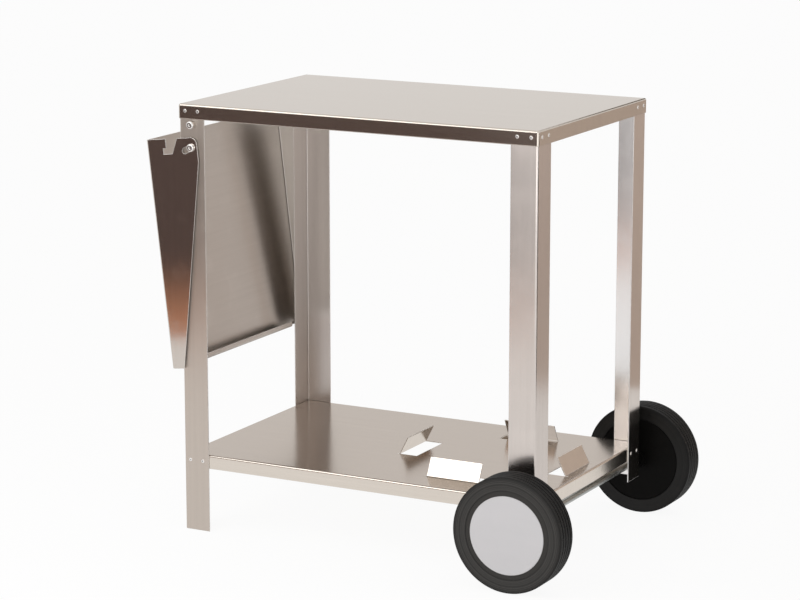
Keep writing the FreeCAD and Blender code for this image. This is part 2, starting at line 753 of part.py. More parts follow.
def make_axle():
    axle = turned_body("axle", [
        ("0", f"-{axle_end}"), ("dims.axle_radius", f"-{axle_end}"), ("dims.axle_radius", axle_end),
        ("0", axle_end),
    ])
    place(axle, x=axle_x, z="dims.wheel_radius")
    rings = (
        ("axle_spacers", "dims.spacer_wall", [(leg_y, f"{inner_washer} - {leg_y}")]),
        ("axle_washers", "dims.washer_rim", [
            (inner_washer, "dims.washer_thickness"), (outer_washer, "dims.washer_thickness")]),
        ("axle_retainers", "dims.retainer_rim", [(retainer, "dims.retainer_thickness")]),
    )
    for label, wall, stack in rings:
        radius = f"(dims.axle_radius + {wall})"
        length = stack[0][1]
        ring = turned_body(f"{label}_ring", [
            (axle_bore, "0"), (radius, "0"), (radius, length), (axle_bore, length),
        ], is_node=False, plane="XZ_Plane")
        spots = []
        for start, _ in stack:
            spots += pair_spots(axle_x, start, "dims.wheel_radius")
        make_copies(label, ring, spots)


def check_document():
    for item in doc.Objects:
        if "Invalid" in item.State or "Error" in item.State:
            raise RuntimeError(f"{item.Label} failed: {item.State}")
    for node in nodes:
        if node.Shape.isNull() or not node.Shape.isValid() or not node.Shape.Solids:
            raise RuntimeError(f"{node.Label} has no valid shape")


make_table_top()
make_legs()
make_lower_shelf()
make_side_shelf()
make_rivets()
make_bolts()
make_pivot_bushes()
make_axle()
for wheel_name, wheel_side in (("front", -1), ("back", 1)):
    make_wheel(wheel_name, wheel_side)
doc.removeObject(probe.Name)
doc.recompute()
check_document()

os.makedirs("parts", exist_ok=True)
for node in nodes:
    node.Shape.exportStep(f"parts/{node.Label}.step")
    box = node.Shape.BoundBox
    size = f"{box.XLength:.2f} x {box.YLength:.2f} x {box.ZLength:.2f} mm"
    print(f"{node.Label}: {len(node.Shape.Solids)} solids, {node.Shape.Volume:.0f} mm3, {size}")
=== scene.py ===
from math import radians

import bmesh
import bpy
from mathutils import Matrix, Vector


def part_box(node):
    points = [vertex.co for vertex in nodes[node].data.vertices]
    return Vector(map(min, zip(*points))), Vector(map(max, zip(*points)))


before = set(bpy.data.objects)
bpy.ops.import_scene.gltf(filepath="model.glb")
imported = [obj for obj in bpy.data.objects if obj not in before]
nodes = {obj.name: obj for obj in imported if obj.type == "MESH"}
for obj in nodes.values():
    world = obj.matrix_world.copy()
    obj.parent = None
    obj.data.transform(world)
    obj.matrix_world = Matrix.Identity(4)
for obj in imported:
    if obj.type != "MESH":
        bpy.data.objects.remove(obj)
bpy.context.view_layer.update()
scene = bpy.context.scene
scene.view_settings.view_transform = "Standard"
print("frame loaded with", len(nodes), "nodes")


cameraView = {
    "place": (2.2968, -4.402, 1.461),
    "tiltDown": 11.92,  # degrees below level
    "turn": 27.93,  # degrees round from straight ahead
    "lens": 128.2,
    "sensor": 36,
}


def addCamera(view):
    data = bpy.data.cameras.new("photoCamera")
    data.lens = view["lens"]
    data.sensor_width = view["sensor"]
    camera = bpy.data.objects.new("photoCamera", data)
    camera.location = view["place"]
    camera.rotation_euler = (radians(90 - view["tiltDown"]), 0, radians(view["turn"]))
    scene.collection.objects.link(camera)
    scene.camera = camera


addCamera(cameraView)
print("camera placed")


# small helpers for node trees: an input is given a value, or a socket that is linked to it
def put(tree, kind, inputs=None, **settings):
    node = tree.nodes.new("ShaderNode" + kind)
    for name, value in settings.items():
        setattr(node, name, value)
    for name, value in (inputs or {}).items():
        if isinstance(value, bpy.types.NodeSocket):
            tree.links.new(value, node.inputs[name])
        else:
            node.inputs[name].default_value = value
    return node


def maths(tree, operation, first, second=0.0, clamp=False):
    node = put(tree, "Math", {0: first, 1: second}, operation=operation, use_clamp=clamp)
    return node.outputs[0]


def vectors(tree, operation, first, second=(0, 0, 0)):
    return put(tree, "VectorMath", {0: first, 1: second}, operation=operation).outputs[0]


def along(tree, first, second):
    node = put(tree, "VectorMath", {0: first, 1: second}, operation="DOT_PRODUCT")
    return node.outputs["Value"]


def scaled(tree, vector, factor):
    node = put(tree, "VectorMath", {0: vector, "Scale": factor}, operation="SCALE")
    return node.outputs[0]


def parted(tree, vector):
    return put(tree, "SeparateXYZ", {0: vector}).outputs


def mixColor(tree, factor, first, second):
    return put(tree, "Mix", {0: factor, 6: first, 7: second}, data_type="RGBA").outputs[2]


def mixValue(tree, factor, first, second):
    return put(tree, "Mix", {0: factor, 2: first, 3: second}).outputs[0]


# a value that a pattern moves to both sides of a middle
def varied(tree, pattern, middle, spread):
    return mixValue(tree, pattern, middle - spread, middle + spread)


def ramp(tree, value, low, high, outLow=0.0, outHigh=1.0):
    inputs = {0: value, 1: low, 2: high, 3: outLow, 4: outHigh}
    return put(tree, "MapRange", inputs, interpolation_type="SMOOTHSTEP").outputs[0]


def stretched(tree, vector, scale):
    return put(tree, "Mapping", {"Vector": vector, "Scale": scale}).outputs[0]


def noise(tree, vector, scale, detail=2.0, roughness=0.6):
    inputs = {"Vector": vector, "Scale": scale, "Detail": detail, "Roughness": roughness}
    return put(tree, "TexNoise", inputs).outputs["Fac"]


def brightened(tree, color, value):
    return put(tree, "HueSaturation", {"Value": value, "Color": color + (1,)}).outputs[0]


def bumped(tree, look, height, normal=None):
    inputs = {"Height": height, "Strength": look["bump"], "Distance": look["bumpDepth"]}
    if normal is not None:
        inputs["Normal"] = normal
    return put(tree, "Bump", inputs).outputs[0]


def newGroup(name, inputs, outputs):
    tree = bpy.data.node_groups.new(name, "ShaderNodeTree")
    for label, kind in inputs.items():
        tree.interface.new_socket(label, in_out="INPUT", socket_type="NodeSocket" + kind)
    for label, kind in outputs.items():
        tree.interface.new_socket(label, in_out="OUTPUT", socket_type="NodeSocket" + kind)
    start = tree.nodes.new("NodeGroupInput")
    end = tree.nodes.new("NodeGroupOutput")
    return tree, start.outputs, end.inputs


def useGroup(tree, group, inputs):
    return put(tree, "Group", inputs, node_tree=group).outputs


grainShape = {
    "drawnOut": 0.985,  # share of the way along the axis that the noise doesn't see
    "bandScale": 0.1,
}


# brushed grain: fine lines and wider bands that run along an axis
def makeBrushedGrain(shape):
    tree, given, result = newGroup(
        "brushedGrain", {"Place": "Vector", "Axis": "Vector", "Line width": "Float"},
        {"Lines": "Float", "Bands": "Float"})
    reach = along(tree, given["Place"], given["Axis"])
    unseen = scaled(tree, given["Axis"], maths(tree, "MULTIPLY", reach, shape["drawnOut"]))
    place = vectors(tree, "SUBTRACT", given["Place"], unseen)
    perMetre = maths(tree, "DIVIDE", 1.0, given["Line width"])
    bandsPerMetre = maths(tree, "MULTIPLY", perMetre, shape["bandScale"])
    tree.links.new(noise(tree, place, perMetre, detail=3.0, roughness=0.7), result["Lines"])
    tree.links.new(noise(tree, place, bandsPerMetre), result["Bands"])
    return tree


smearShape = {
    "edge": 0.72,  # level of the noise where smears start at no reach
    "edgeDrop": 0.4,  # and how far full reach lowers it
    "fade": 0.25,
}


# hand marks and cleaning smears: soft clouds of a size, over more or less of the surface
def makeSmears(shape):
    tree, given, result = newGroup(
        "smears", {"Place": "Vector", "Size": "Float", "Reach": "Float"}, {"Mask": "Float"})
    perMetre = maths(tree, "DIVIDE", 1.0, given["Size"])
    cloud = noise(tree, given["Place"], perMetre, detail=4.0, roughness=0.5)
    drop = maths(tree, "MULTIPLY", given["Reach"], shape["edgeDrop"])
    edge = maths(tree, "SUBTRACT", shape["edge"], drop)
    mask = ramp(tree, cloud, edge, maths(tree, "ADD", edge, shape["fade"]))
    tree.links.new(mask, result["Mask"])
    return tree


edgeShape = {"samples": 6, "turnStart": 0.995, "turnEnd": 0.8}  # turns as cosines


# edges: a softly rounded normal, and where it turns away from the face
def makeSoftEdge(shape):
    tree, given, result = newGroup(
        "softEdge", {"Radius": "Float"}, {"Normal": "Vector", "Mask": "Float"})
    bevel = put(tree, "Bevel", {"Radius": given["Radius"]}, samples=shape["samples"])
    rounded = bevel.outputs[0]
    face = put(tree, "NewGeometry").outputs["Normal"]
    mask = ramp(tree, along(tree, rounded, face), shape["turnStart"], shape["turnEnd"])
    tree.links.new(rounded, result["Normal"])
    tree.links.new(mask, result["Mask"])
    return tree


# turned rings: fine circles round the axle, and the distance from it
def makeTurnedRings():
    tree, given, result = newGroup(
        "turnedRings", {"Place": "Vector", "Ring width": "Float"},
        {"Rings": "Float", "Radius": "Float"})
    flat = vectors(tree, "MULTIPLY", given["Place"], (1, 0, 1))
    radius = put(tree, "VectorMath", {0: flat}, operation="LENGTH").outputs["Value"]
    ringCount = maths(tree, "DIVIDE", radius, given["Ring width"])
    steps = put(tree, "CombineXYZ", {0: ringCount}).outputs[0]
    tree.links.new(noise(tree, steps, 1.0), result["Rings"])
    tree.links.new(radius, result["Radius"])
    return tree


dustShape = {
    "specksPerMetre": 1400.0, "speckEdge": (0.5, 0.75), "speckShare": 0.6,
    "cloudsPerMetre": 45.0, "cloudEdge": (0.4, 0.7), "cloudShare": 0.4,
}


# dust: fine specks gathered in loose clouds
def makeDust(shape):
    tree, given, result = newGroup(
        "dust", {"Place": "Vector", "Amount": "Float"}, {"Mask": "Float"})
    specks = noise(tree, given["Place"], shape["specksPerMetre"])
    specks = ramp(tree, specks, *shape["speckEdge"])
    clouds = noise(tree, given["Place"], shape["cloudsPerMetre"], detail=3.0, roughness=0.55)
    clouds = ramp(tree, clouds, *shape["cloudEdge"])
    both = maths(
        tree, "ADD", maths(tree, "MULTIPLY", specks, shape["speckShare"]),
        maths(tree, "MULTIPLY", clouds, shape["cloudShare"]))
    tree.links.new(maths(tree, "MULTIPLY", both, given["Amount"]), result["Mask"])
    return tree


brushedGrain = makeBrushedGrain(grainShape)
smears = makeSmears(smearShape)
softEdge = makeSoftEdge(edgeShape)
turnedRings = makeTurnedRings()
dust = makeDust(dustShape)
print("shared effects made")


def newMaterial(name):
    material = bpy.data.materials.new(name)
    material.use_nodes = True
    tree = material.node_tree
    tree.nodes.clear()
    shader = put(tree, "BsdfPrincipled")
    put(tree, "OutputMaterial", {"Surface": shader.outputs[0]})
    place = put(tree, "TexCoord").outputs
    return material, tree, shader, place


def wire(tree, shader, sockets):
    for name, socket in sockets.items():
        tree.links.new(socket, shader.inputs[name])


def setPlain(shader, values):
    for name, value in values.items():
        shader.inputs[name].default_value = value


# grain runs along the first axis, and along the second on faces that look along the first
sheetGrain = {
    "flat": ((1, 0, 0), (0, 0, 1)),
    "upright": ((0, 0, 1), (1, 0, 0)),
    "wide": ((0, 1, 0), (0, 0, 1)),
}
# spread draws highlights out across the grain, lean turns front faces to the right
# colour and inside are set piece by piece for one and the same steel: their differences are
# painted light and shade, and inside is the painted light and shade of faces that look towards
# the cart's middle, lighter on some pieces and darker on others
sheetLooks = {
    "table_top": {
        "color": (0.55, 0.495, 0.44), "roughness": 0.11,
        "inside": (0.55, 0.495, 0.44), "insideRoughness": 0.25,
        "spread": 0.4, "grain": "flat", "smear": 0.2, "smearShade": 0.03, "lean": 0},
    "lower_shelf": {
        "color": (0.68, 0.62, 0.555), "roughness": 0.14,
        "inside": (0.495, 0.433, 0.382), "insideRoughness": 0.19,
        "spread": 0.5, "grain": "flat", "smear": 0.3, "smearShade": 0.03, "lean": 0},
    "side_shelf": {
        "color": (0.60, 0.55, 0.505), "roughness": 0.1,
        "inside": (0.535, 0.5, 0.468), "insideRoughness": 0.31,
        "spread": 0.5, "grain": "wide", "smear": 0.5, "smearShade": 0.06, "lean": 0},
    "leg_front_left": {
        "color": (0.555, 0.49, 0.435), "roughness": 0.34,
        "inside": (0.60, 0.555, 0.52), "insideRoughness": 0.25,
        "spread": 0.9, "grain": "upright", "smear": 0.6, "smearShade": 0.03, "lean": 0},
    "leg_back_left": {
        "color": (0.60, 0.55, 0.515), "roughness": 0.3,
        "inside": (0.565, 0.52, 0.49), "insideRoughness": 0.34,
        "spread": 0.4, "grain": "upright", "smear": 0.6, "smearShade": 0.03, "lean": 0},
    "leg_front_right": {
        "color": (0.62, 0.565, 0.53), "roughness": 0.22,
        "inside": (0.60, 0.555, 0.52), "insideRoughness": 0.25,
        "spread": 0.75, "grain": "upright", "smear": 0.7, "smearShade": 0.03, "lean": 0.07},
    "leg_back_right": {
        "color": (0.62, 0.565, 0.525), "roughness": 0.13,
        "inside": (0.78, 0.76, 0.75), "insideRoughness": 0.17,
        "spread": 0.6, "grain": "upright", "smear": 0.6, "smearShade": 0.03, "lean": 0.065},
}
sheetSurface = {
    "middle": (0, 0, 0.42),  # faces that look towards it are insides
    "endFacing": 0.7,  # cosine past which a face looks along its grain
    "frontFacing": 0.9,  # cosine past which a face counts as a front
    "lineWidth": 0.0007,
    "lineShade": 0.05,
    "bandShade": 0.05,
    "smearSize": 0.045,
    "edgeRadius": 0.0013,
    # pale colour of cut edges: partly edge wear, partly a painted highlight
    "edgeColor": (0.9, 0.88, 0.86),
    "edgeWearAndHighlight": 0.9,
    "edgeRoughness": 0.6,
    "grazing": (0.86, 0.84, 0.82),  # tint near the rim of sight
    "bump": 0.05,
    "bumpDepth": 0.0002,
}


def sheetSteel(name, look, surface):
    material, tree, shader, place = newMaterial(name + "_steel")
    lengthways, endways = sheetGrain[look["grain"]]
    facing = place["Normal"]
    lengthFacing = maths(tree, "ABSOLUTE", along(tree, facing, lengthways))
    onEnd = maths(tree, "GREATER_THAN", lengthFacing, surface["endFacing"])
    axis = put(tree, "Mix", {0: onEnd, 4: lengthways, 5: endways}, data_type="VECTOR").outputs[1]
    grain = useGroup(tree, brushedGrain, {
        "Place": place["Object"], "Axis": axis, "Line width": surface["lineWidth"]})
    marks = useGroup(tree, smears, {
        "Place": place["Object"], "Size": surface["smearSize"], "Reach": look["smear"]})
    edge = useGroup(tree, softEdge, {"Radius": surface["edgeRadius"]})
    lines = varied(tree, grain["Lines"], 0.0, surface["lineShade"])
    bands = varied(tree, grain["Bands"], 0.0, surface["bandShade"])
    smeared = maths(tree, "MULTIPLY", marks["Mask"], look["smearShade"])
    shade = maths(
        tree, "ADD", maths(tree, "ADD", 1.0, lines), maths(tree, "ADD", bands, smeared))
    # faces that look towards the middle take the inside colour, a painted light and shade
    inwards = vectors(tree, "SUBTRACT", surface["middle"], place["Object"])
    inside = maths(tree, "GREATER_THAN", along(tree, facing, inwards), 0.0)
    tone = mixColor(
        tree, inside, brightened(tree, look["color"], shade),
        brightened(tree, look["inside"], shade))
    # cut edges are lightened and roughened: partly edge wear, partly a painted highlight along
    # the edges
    wearAndHighlight = maths(tree, "MULTIPLY", edge["Mask"], surface["edgeWearAndHighlight"])
    wornAndHighlit = mixColor(tree, wearAndHighlight, tone, surface["edgeColor"] + (1,))
    rough = mixValue(tree, inside, look["roughness"], look["insideRoughness"])
    rough = maths(tree, "ADD", maths(tree, "ADD", rough, lines), smeared)
    rough = mixValue(tree, wearAndHighlight, rough, surface["edgeRoughness"])
    # the bend of some legs springs open, so that their front face leans to the right
    toFront = along(tree, facing, (0, -1, 0))
    lean = ramp(tree, toFront, surface["frontFacing"], 1.0, 0.0, look["lean"])
    leaning = vectors(tree, "ADD", edge["Normal"], put(tree, "CombineXYZ", {0: lean}).outputs[0])
    leaning = vectors(tree, "NORMALIZE", leaning)
    # highlights spread across the grain
    across = put(
        tree, "VectorTransform", {0: vectors(tree, "CROSS_PRODUCT", facing, axis)},
        vector_type="VECTOR", convert_from="OBJECT", convert_to="WORLD")
    wire(tree, shader, {
        "Base Color": wornAndHighlit, "Roughness": rough, "Tangent": across.outputs[0],
        "Normal": bumped(tree, surface, grain["Lines"], leaning)})
    setPlain(shader, {
        "Metallic": 1.0, "Anisotropic": look["spread"],
        "Specular Tint": surface["grazing"] + (1,)})
    return material


for node, look in sheetLooks.items():
    nodes[node].material_slots[0].material = sheetSteel(node, look, sheetSurface)
print("sheet steel done")


fastenerLook = {
    "color": (0.80, 0.78, 0.76),
    "shade": 0.1,
    "roughness": 0.2,
    "roughnessSpread": 0.06,
    "scratchScale": 2600.0,
    "scratchStretch": (1, 1, 0.15),
    "grimeColor": (0.30, 0.26, 0.23),
    "grime": 0.25,
    "grimeSize": 0.004,
    "grimeReach": 0.2,
    "edgeRadius": 0.0003,
    "bump": 0.08,
    "bumpDepth": 0.0001,
}


def fastenerSteel(look):
    material, tree, shader, place = newMaterial("bright_fastener")
    edge = useGroup(tree, softEdge, {"Radius": look["edgeRadius"]})
    drawn = stretched(tree, place["Object"], look["scratchStretch"])
    scratches = noise(tree, drawn, look["scratchScale"], detail=3.0, roughness=0.7)
    grime = useGroup(tree, smears, {
        "Place": place["Object"], "Size": look["grimeSize"], "Reach": look["grimeReach"]})
    tone = brightened(tree, look["color"], varied(tree, scratches, 1.0, look["shade"]))
    offEdge = maths(tree, "SUBTRACT", 1.0, edge["Mask"], clamp=True)
    dirty = maths(tree, "MULTIPLY", grime["Mask"], offEdge)
    dirty = maths(tree, "MULTIPLY", dirty, look["grime"])
    rough = varied(tree, scratches, look["roughness"], look["roughnessSpread"])
    wire(tree, shader, {
        "Base Color": mixColor(tree, dirty, tone, look["grimeColor"] + (1,)),
        "Roughness": maths(tree, "ADD", rough, dirty),
        "Normal": bumped(tree, look, scratches, edge["Normal"])})
    setPlain(shader, {"Metallic": 1.0})
    return material


rivetLook = {
    "color": (0.80, 0.78, 0.76),
    "shade": 0.1,
    "roughness": 0.22,
    "roughnessSpread": 0.06,
    "scratchScale": 2600.0,
    "scratchDepth": 0.1,  # as a share of the hole's
    "pitch": 0.0255,
    "endReach": 0.0065,  # from the outer rivet of a pair to the heads on the end faces
    "paintedHoleShade": (0.03, 0.027, 0.025),
    "holeRoughness": 0.6,
    "holeRadius": 0.0013,
    "pinRadius": 0.0005,
    "holeFade": 0.0002,
    "bump": 0.6,
    "bumpDepth": 0.0003,
}


def boxMiddle(node):
    low, high = (Vector(corner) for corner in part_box(node))
    return (low + high) / 2


# heads of pulled rivets, each with a dark hole around the end of its pin: the hole is pressed in
# by the bump, and its darkness is a painted shade
def rivetSteel(node, look):
    material, tree, shader, place = newMaterial(node + "_steel")
    middle = boxMiddle(node)
    leg = boxMiddle("leg_back_right") - middle
    halfPitch = look["pitch"] / 2
    fromMiddle = vectors(tree, "ABSOLUTE", vectors(tree, "SUBTRACT", place["Object"], middle))
    fromLeg = vectors(
        tree, "ABSOLUTE", vectors(tree, "SUBTRACT", fromMiddle, (leg.x, leg.y, 0)))
    fromHead = parted(tree, vectors(tree, "SUBTRACT", fromLeg, (halfPitch, halfPitch, 0)))
    outwards = parted(tree, fromMiddle)["X"]
    onEnd = maths(tree, "GREATER_THAN", outwards, leg.x + halfPitch + look["endReach"])
    sideways = mixValue(tree, onEnd, fromHead["X"], fromHead["Y"])
    squares = maths(
        tree, "ADD", maths(tree, "MULTIPLY", sideways, sideways),
        maths(tree, "MULTIPLY", fromHead["Z"], fromHead["Z"]))
    radius = maths(tree, "POWER", squares, 0.5)
    withinHole = ramp(tree, radius, look["holeRadius"], look["holeRadius"] - look["holeFade"])
    pastPin = ramp(tree, radius, look["pinRadius"], look["pinRadius"] + look["holeFade"])
    hole = maths(tree, "MULTIPLY", withinHole, pastPin)
    scratches = noise(tree, place["Object"], look["scratchScale"], detail=3.0, roughness=0.7)
    tone = brightened(tree, look["color"], varied(tree, scratches, 1.0, look["shade"]))
    rough = varied(tree, scratches, look["roughness"], look["roughnessSpread"])
    height = maths(
        tree, "SUBTRACT", maths(tree, "MULTIPLY", scratches, look["scratchDepth"]), hole)
    # the hole's dark colour is a painted shade of the recess
    wire(tree, shader, {
        "Base Color": mixColor(tree, hole, tone, look["paintedHoleShade"] + (1,)),
        "Roughness": mixValue(tree, hole, rough, look["holeRoughness"]),
        "Normal": bumped(tree, look, height)})
    setPlain(shader, {"Metallic": 1.0})
    return material


axleLook = {
    "color": (0.32, 0.33, 0.315),
    "shade": 0.12,
    "smoothest": 0.21,
    "roughest": 0.34,
    "lineWidth": 0.0005,
    "stainColor": (0.36, 0.33, 0.29),
    "stain": 0.2,
    "stainSize": 0.02,
    "stainReach": 0.3,
    "bump": 0.1,
    "bumpDepth": 0.0001,
}


def axleSteel(look):
    material, tree, shader, place = newMaterial("drawn_bar")
    grain = useGroup(tree, brushedGrain, {
        "Place": place["Object"], "Axis": (0, 1, 0), "Line width": look["lineWidth"]})
    stains = useGroup(tree, smears, {
        "Place": place["Object"], "Size": look["stainSize"], "Reach": look["stainReach"]})
    tone = brightened(tree, look["color"], varied(tree, grain["Lines"], 1.0, look["shade"]))
    stained = maths(tree, "MULTIPLY", stains["Mask"], look["stain"])
    rough = mixValue(tree, grain["Lines"], look["smoothest"], look["roughest"])
    wire(tree, shader, {
        "Base Color": mixColor(tree, stained, tone, look["stainColor"] + (1,)),
        "Roughness": maths(tree, "ADD", rough, stained),
        "Normal": bumped(tree, look, grain["Lines"])})
    setPlain(shader, {"Metallic": 1.0})
    return material


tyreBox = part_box("tyre_front")
axlePlace = boxMiddle("tyre_front")
wheelSides = (-tyreBox[1][1], -tyreBox[0][1])  # inner and outer face, from the cart's middle


def aroundAxle(tree, place):
    return vectors(tree, "SUBTRACT", place["Object"], (axlePlace.x, 0, axlePlace.z))


# 0 at the inner face of a wheel, 1 at its outer face
def outerSide(tree, place):
    sideways = maths(tree, "ABSOLUTE", parted(tree, place["Object"])["Y"])
    return ramp(tree, sideways, *wheelSides)


tyreLook = {
    "color": (0.006, 0.0057, 0.0052),
    "outerLitColor": (0.037, 0.0355, 0.0335),
    "roughness": 0.4,
    "roughnessSpread": 0.04,
    "shine": 0.22,
    "ringWidth": 0.0026,
    "ringEdge": (0.38, 0.62),
    "ringSheenShade": (0.6, 1.45),
    "ringDepth": 0.6,  # as a share of the grain's
    "grainScale": 1600.0,
    "treadStart": 0.094,
    "treadEnd": 0.0985,
    "treadShade": 0.35,
    "treadRoughness": 0.65,
    "scuffSize": 0.05,
    "scuffReach": 0.4,
    "scuffRoughness": 0.08,
    "dustColor": (0.16, 0.15, 0.14),
    "dust": 0.04,
    "dustRoughness": 0.4,
    "edgeRadius": 0.0006,
    "bump": 0.4,
    "bumpDepth": 0.0003,
}


def tyreRubber(look):
    material, tree, shader, place = newMaterial("tyre_rubber")
    rings = useGroup(tree, turnedRings, {
        "Place": aroundAxle(tree, place), "Ring width": look["ringWidth"]})
    edge = useGroup(tree, softEdge, {"Radius": look["edgeRadius"]})
    grain = noise(tree, place["Object"], look["grainScale"])
    dusty = useGroup(tree, dust, {"Place": place["Object"], "Amount": look["dust"]})["Mask"]
    scuffs = useGroup(tree, smears, {
        "Place": place["Object"], "Size": look["scuffSize"], "Reach": look["scuffReach"]})
    tread = ramp(tree, rings["Radius"], look["treadStart"], look["treadEnd"])
    # light and dark rings in the sidewall colour: the moulded ring pattern, with its light rings
    # as a painted sheen
    shade = ramp(tree, rings["Rings"], *look["ringEdge"], *look["ringSheenShade"])
    shade = maths(tree, "MULTIPLY", shade, mixValue(tree, tread, 1.0, look["treadShade"]))
    # the inner face is far darker than the outer face: a painted shade on the side towards the
    # cart
    tone = mixColor(
        tree, outerSide(tree, place), brightened(tree, look["color"], shade),
        brightened(tree, look["outerLitColor"], shade))
    tone = mixColor(tree, dusty, tone, look["dustColor"] + (1,))
    rough = varied(tree, rings["Rings"], look["roughness"], look["roughnessSpread"])
    rough = mixValue(tree, tread, rough, look["treadRoughness"])
    scuffed = maths(tree, "MULTIPLY", scuffs["Mask"], look["scuffRoughness"])
    rough = maths(tree, "ADD", rough, scuffed)
    rough = maths(tree, "ADD", rough, maths(tree, "MULTIPLY", dusty, look["dustRoughness"]))
    height = maths(tree, "ADD", maths(tree, "MULTIPLY", rings["Rings"], look["ringDepth"]), grain)
    wire(tree, shader, {
        "Base Color": tone, "Roughness": rough,
        "Normal": bumped(tree, look, height, edge["Normal"])})
    setPlain(shader, {"Specular IOR Level": look["shine"]})
    return material


hubLook = {
    "color": (0.0035, 0.0033, 0.003),
    "outerLitColor": (0.051, 0.049, 0.0465),
    "shade": 0.15,
    "roughness": 0.42,
    "roughnessSpread": 0.05,
    "shine": 0.06,
    "ringWidth": 0.003,
    "ringDepth": 0.3,  # as a share of the grain's
    "grainScale": 2200.0,
    "dustColor": (0.12, 0.11, 0.10),
    "dust": 0.02,
    "dustRoughness": 0.5,
    "edgeRadius": 0.0005,
    "bump": 0.1,
    "bumpDepth": 0.0002,
}


def hubPlastic(look):
    material, tree, shader, place = newMaterial("hub_plastic")
    rings = useGroup(tree, turnedRings, {
        "Place": aroundAxle(tree, place), "Ring width": look["ringWidth"]})
    edge = useGroup(tree, softEdge, {"Radius": look["edgeRadius"]})
    grain = noise(tree, place["Object"], look["grainScale"])
    dusty = useGroup(tree, dust, {"Place": place["Object"], "Amount": look["dust"]})["Mask"]
    shade = varied(tree, grain, 1.0, look["shade"])
    # the inner face is far darker than the outer face: a painted shade on the side towards the
    # cart
    tone = mixColor(
        tree, outerSide(tree, place), brightened(tree, look["color"], shade),
        brightened(tree, look["outerLitColor"], shade))
    rough = varied(tree, grain, look["roughness"], look["roughnessSpread"])
    rough = maths(tree, "ADD", rough, maths(tree, "MULTIPLY", dusty, look["dustRoughness"]))
    height = maths(tree, "ADD", maths(tree, "MULTIPLY", rings["Rings"], look["ringDepth"]), grain)
    wire(tree, shader, {
        "Base Color": mixColor(tree, dusty, tone, look["dustColor"] + (1,)),
        "Roughness": rough, "Normal": bumped(tree, look, height, edge["Normal"])})
    setPlain(shader, {"Specular IOR Level": look["shine"]})
    return material


capLook = {
    "color": (0.658, 0.651, 0.664),
    "grainShade": 0.015,
    "grainScale": 2400.0,
    "wipeShade": 0.02,
    "wipeScale": (9.0, 9.0, 60.0),  # wiped along the level
    "roughness": 0.42,
    "roughnessSpread": 0.06,
    "ringWidth": 0.002,
    "ringDepth": 0.2,  # as a share of the grain's
    "dustAndRimShadeColor": (0.56, 0.55, 0.55),
    "rimShadeShare": 0.5,
    "rimStart": 0.0655,
    "rimEnd": 0.068,
    "dust": 0.05,
    "edgeRadius": 0.0004,
    "bump": 0.05,
    "bumpDepth": 0.0001,
}


def capPlastic(look):
    material, tree, shader, place = newMaterial("cap_plastic")
    rings = useGroup(tree, turnedRings, {
        "Place": aroundAxle(tree, place), "Ring width": look["ringWidth"]})
    edge = useGroup(tree, softEdge, {"Radius": look["edgeRadius"]})
    grain = noise(tree, place["Object"], look["grainScale"])
    drawn = stretched(tree, place["Object"], look["wipeScale"])
    wiped = noise(tree, drawn, 1.0, detail=3.0, roughness=0.5)
    dusty = useGroup(tree, dust, {"Place": place["Object"], "Amount": look["dust"]})["Mask"]
    shade = maths(
        tree, "ADD", varied(tree, grain, 1.0, look["grainShade"]),
        varied(tree, wiped, 0.0, look["wipeShade"]))
    tone = brightened(tree, look["color"], shade)
    # the cap darkens towards its edge where it meets the tyre: a painted shade at the joint; dust
    # takes the same colour
    rim = ramp(tree, rings["Radius"], look["rimStart"], look["rimEnd"])
    rim = maths(tree, "MULTIPLY", rim, look["rimShadeShare"])
    tone = mixColor(tree, maths(tree, "MAXIMUM", rim, dusty), tone, look["dustAndRimShadeColor"] + (1,))
    rough = varied(tree, wiped, look["roughness"], look["roughnessSpread"])
    height = maths(tree, "ADD", maths(tree, "MULTIPLY", rings["Rings"], look["ringDepth"]), grain)
    wire(tree, shader, {
        "Base Color": tone, "Roughness": rough,
        "Normal": bumped(tree, look, height, edge["Normal"])})
    return material


bushLook = {
    "color": (0.70, 0.68, 0.62),
    "shade": 0.07,
    "roughness": 0.5,
    "roughnessSpread": 0.06,
    "grainScale": 2600.0,
    "smudgeColor": (0.35, 0.33, 0.30),
    "smudge": 0.3,
    "smudgeSize": 0.008,
    "smudgeReach": 0.4,
    "bump": 0.08,
    "bumpDepth": 0.0001,
}


def bushPlastic(look):
    material, tree, shader, place = newMaterial("bush_plastic")
    grain = noise(tree, place["Object"], look["grainScale"])
    smudges = useGroup(tree, smears, {
        "Place": place["Object"], "Size": look["smudgeSize"], "Reach": look["smudgeReach"]})
    smudged = maths(tree, "MULTIPLY", smudges["Mask"], look["smudge"])
    tone = brightened(tree, look["color"], varied(tree, grain, 1.0, look["shade"]))
    wire(tree, shader, {
        "Base Color": mixColor(tree, smudged, tone, look["smudgeColor"] + (1,)),
        "Roughness": varied(tree, grain, look["roughness"], look["roughnessSpread"]),
        "Normal": bumped(tree, look, grain)})
    return material


finishes = {
    "fastener_steel": fastenerSteel(fastenerLook),
    "axle_steel": axleSteel(axleLook),
    "tyre_rubber": tyreRubber(tyreLook),
    "hub_plastic": hubPlastic(hubLook),
    "cap_plastic": capPlastic(capLook),
    "bush_plastic": bushPlastic(bushLook),
}
for piece in nodes.values():
    slotName = piece.material_slots[0].material.name
    if slotName in finishes:
        piece.material_slots[0].material = finishes[slotName]
for node in ("top_rivets", "shelf_rivets"):
    nodes[node].material_slots[0].material = rivetSteel(node, rivetLook)
print("other finishes done")


studio = {
    "floorHalf": 14.0,
    "floorColor": (0.82, 0.815, 0.81),
    "floorWhite": 0.92,  # share of plain white in the floor's look, the rest keeps the shadow
    "room": (0.66, 0.65, 0.645),
}
plainWhite = (1, 1, 1, 1)


